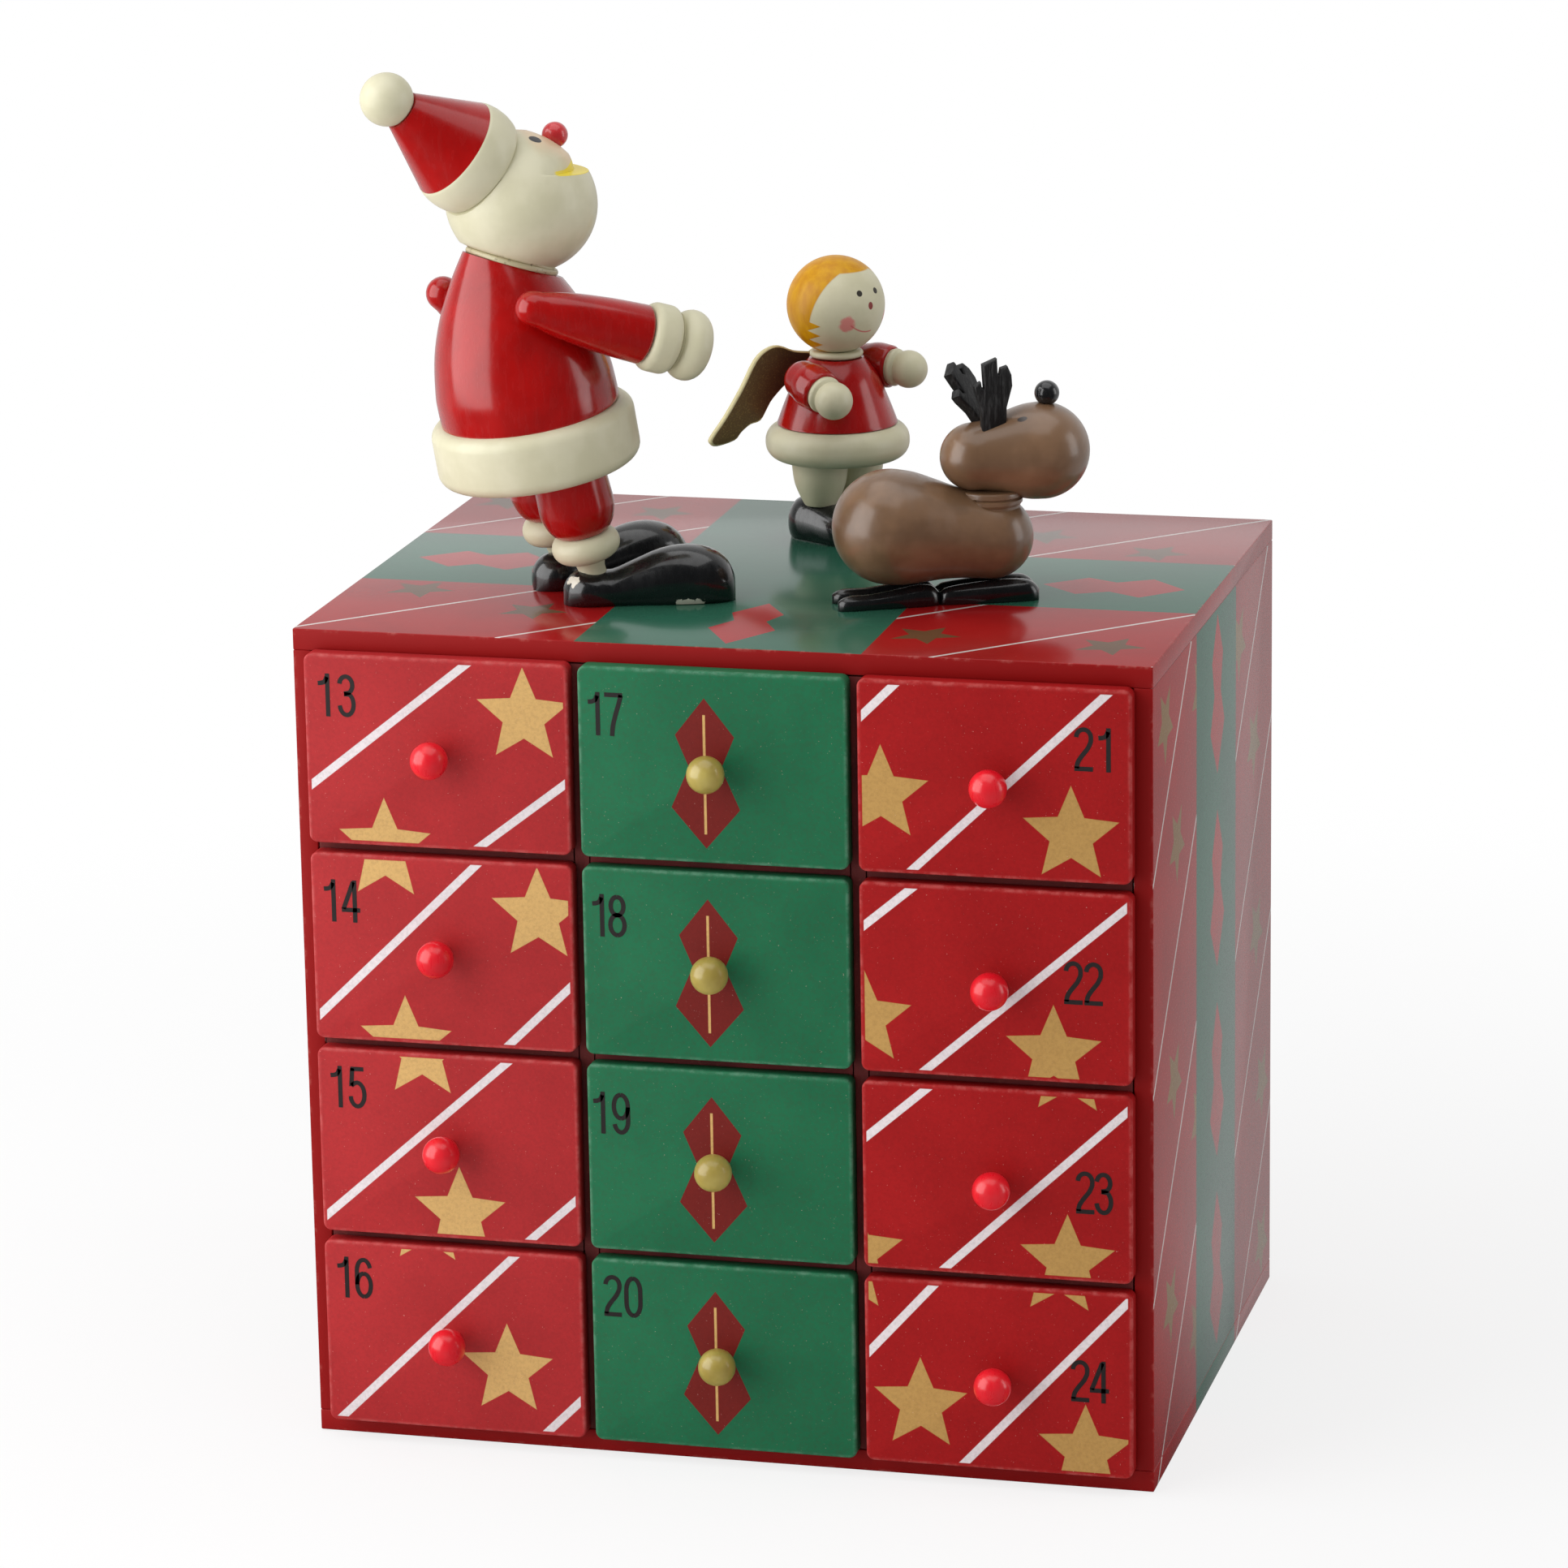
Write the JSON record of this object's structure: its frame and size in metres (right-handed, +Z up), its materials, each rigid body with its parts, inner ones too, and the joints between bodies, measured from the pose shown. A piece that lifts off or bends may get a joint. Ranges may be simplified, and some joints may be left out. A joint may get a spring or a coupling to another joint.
{
  "type": "advent calendar box",
  "caption": "Painted wooden advent calendar box with small pull-out drawers in front and behind, and turned wooden festive figures standing on top.",
  "frame": {"origin": "middle of the case's underside, where it rests on a table", "axes": "+Z up, -Y towards the viewer of drawers 13 to 24, +X to that viewer's right"},
  "size_m": [0.18, 0.1634, 0.2882],
  "materials": {
    "case_red": "gloss paint",
    "drawer_red": "satin paint",
    "drawer_green": "satin paint",
    "coat_red": "gloss paint",
    "bead_red": "gloss paint",
    "cream_paint": "satin paint",
    "black_paint": "gloss paint",
    "brown_paint": "gloss paint",
    "bronze_paint": "metallic paint"
  },
  "bodies": {
    "case": {"top_board": "case_red", "bottom_board": "case_red", "left_side": "case_red", "right_side": "case_red", "left_divider": "case_red", "right_divider": "case_red", "lower_shelf": "case_red", "middle_shelf": "case_red", "upper_shelf": "case_red", "santa_hat_pompom": "cream_paint", "santa_hat": "coat_red", "santa_head": "cream_paint", "santa_nose": "bead_red", "santa_coat": "coat_red", "santa_coat_hem": "cream_paint", "santa_left_sleeve": "coat_red", "santa_right_sleeve": "coat_red", "santa_left_mitten": "cream_paint", "santa_right_mitten": "cream_paint", "santa_left_leg": "coat_red", "santa_right_leg": "coat_red", "santa_left_boot": "black_paint", "santa_right_boot": "black_paint", "angel_head": "cream_paint", "angel_dress": "coat_red", "angel_dress_hem": "cream_paint", "angel_left_arm": "coat_red", "angel_right_arm": "coat_red", "angel_legs": "cream_paint", "angel_wings": "bronze_paint", "reindeer_body": "brown_paint", "reindeer_head": "brown_paint", "reindeer_nose": "black_paint", "reindeer_left_antler": "black_paint", "reindeer_right_antler": "black_paint", "reindeer_legs": "black_paint"},
    "drawer_01": {"drawer_01": "drawer_red"},
    "drawer_02": {"drawer_02": "drawer_red"},
    "drawer_03": {"drawer_03": "drawer_red"},
    "drawer_04": {"drawer_04": "drawer_red"},
    "drawer_05": {"drawer_05": "drawer_green"},
    "drawer_06": {"drawer_06": "drawer_green"},
    "drawer_07": {"drawer_07": "drawer_green"},
    "drawer_08": {"drawer_08": "drawer_green"},
    "drawer_09": {"drawer_09": "drawer_red"},
    "drawer_10": {"drawer_10": "drawer_red"},
    "drawer_11": {"drawer_11": "drawer_red"},
    "drawer_12": {"drawer_12": "drawer_red"},
    "drawer_13": {"drawer_13": "drawer_red"},
    "drawer_14": {"drawer_14": "drawer_red"},
    "drawer_15": {"drawer_15": "drawer_red"},
    "drawer_16": {"drawer_16": "drawer_red"},
    "drawer_17": {"drawer_17": "drawer_green"},
    "drawer_18": {"drawer_18": "drawer_green"},
    "drawer_19": {"drawer_19": "drawer_green"},
    "drawer_20": {"drawer_20": "drawer_green"},
    "drawer_21": {"drawer_21": "drawer_red"},
    "drawer_22": {"drawer_22": "drawer_red"},
    "drawer_23": {"drawer_23": "drawer_red"},
    "drawer_24": {"drawer_24": "drawer_red"}
  },
  "joints": [
    {"name": "drawer_01_slide", "type": "slide", "parent": "case", "child": "drawer_01", "axis": [0, 1, 0], "range_m": [0, 0.05]},
    {"name": "drawer_02_slide", "type": "slide", "parent": "case", "child": "drawer_02", "axis": [0, 1, 0], "range_m": [0, 0.05]},
    {"name": "drawer_03_slide", "type": "slide", "parent": "case", "child": "drawer_03", "axis": [0, 1, 0], "range_m": [0, 0.05]},
    {"name": "drawer_04_slide", "type": "slide", "parent": "case", "child": "drawer_04", "axis": [0, 1, 0], "range_m": [0, 0.05]},
    {"name": "drawer_05_slide", "type": "slide", "parent": "case", "child": "drawer_05", "axis": [0, 1, 0], "range_m": [0, 0.05]},
    {"name": "drawer_06_slide", "type": "slide", "parent": "case", "child": "drawer_06", "axis": [0, 1, 0], "range_m": [0, 0.05]},
    {"name": "drawer_07_slide", "type": "slide", "parent": "case", "child": "drawer_07", "axis": [0, 1, 0], "range_m": [0, 0.05]},
    {"name": "drawer_08_slide", "type": "slide", "parent": "case", "child": "drawer_08", "axis": [0, 1, 0], "range_m": [0, 0.05]},
    {"name": "drawer_09_slide", "type": "slide", "parent": "case", "child": "drawer_09", "axis": [0, 1, 0], "range_m": [0, 0.05]},
    {"name": "drawer_10_slide", "type": "slide", "parent": "case", "child": "drawer_10", "axis": [0, 1, 0], "range_m": [0, 0.05]},
    {"name": "drawer_11_slide", "type": "slide", "parent": "case", "child": "drawer_11", "axis": [0, 1, 0], "range_m": [0, 0.05]},
    {"name": "drawer_12_slide", "type": "slide", "parent": "case", "child": "drawer_12", "axis": [0, 1, 0], "range_m": [0, 0.05]},
    {"name": "drawer_13_slide", "type": "slide", "parent": "case", "child": "drawer_13", "axis": [0, -1, 0], "range_m": [0, 0.05]},
    {"name": "drawer_14_slide", "type": "slide", "parent": "case", "child": "drawer_14", "axis": [0, -1, 0], "range_m": [0, 0.05]},
    {"name": "drawer_15_slide", "type": "slide", "parent": "case", "child": "drawer_15", "axis": [0, -1, 0], "range_m": [0, 0.05]},
    {"name": "drawer_16_slide", "type": "slide", "parent": "case", "child": "drawer_16", "axis": [0, -1, 0], "range_m": [0, 0.05]},
    {"name": "drawer_17_slide", "type": "slide", "parent": "case", "child": "drawer_17", "axis": [0, -1, 0], "range_m": [0, 0.05]},
    {"name": "drawer_18_slide", "type": "slide", "parent": "case", "child": "drawer_18", "axis": [0, -1, 0], "range_m": [0, 0.05]},
    {"name": "drawer_19_slide", "type": "slide", "parent": "case", "child": "drawer_19", "axis": [0, -1, 0], "range_m": [0, 0.05]},
    {"name": "drawer_20_slide", "type": "slide", "parent": "case", "child": "drawer_20", "axis": [0, -1, 0], "range_m": [0, 0.05]},
    {"name": "drawer_21_slide", "type": "slide", "parent": "case", "child": "drawer_21", "axis": [0, -1, 0], "range_m": [0, 0.05]},
    {"name": "drawer_22_slide", "type": "slide", "parent": "case", "child": "drawer_22", "axis": [0, -1, 0], "range_m": [0, 0.05]},
    {"name": "drawer_23_slide", "type": "slide", "parent": "case", "child": "drawer_23", "axis": [0, -1, 0], "range_m": [0, 0.05]},
    {"name": "drawer_24_slide", "type": "slide", "parent": "case", "child": "drawer_24", "axis": [0, -1, 0], "range_m": [0, 0.05]}
  ]
}
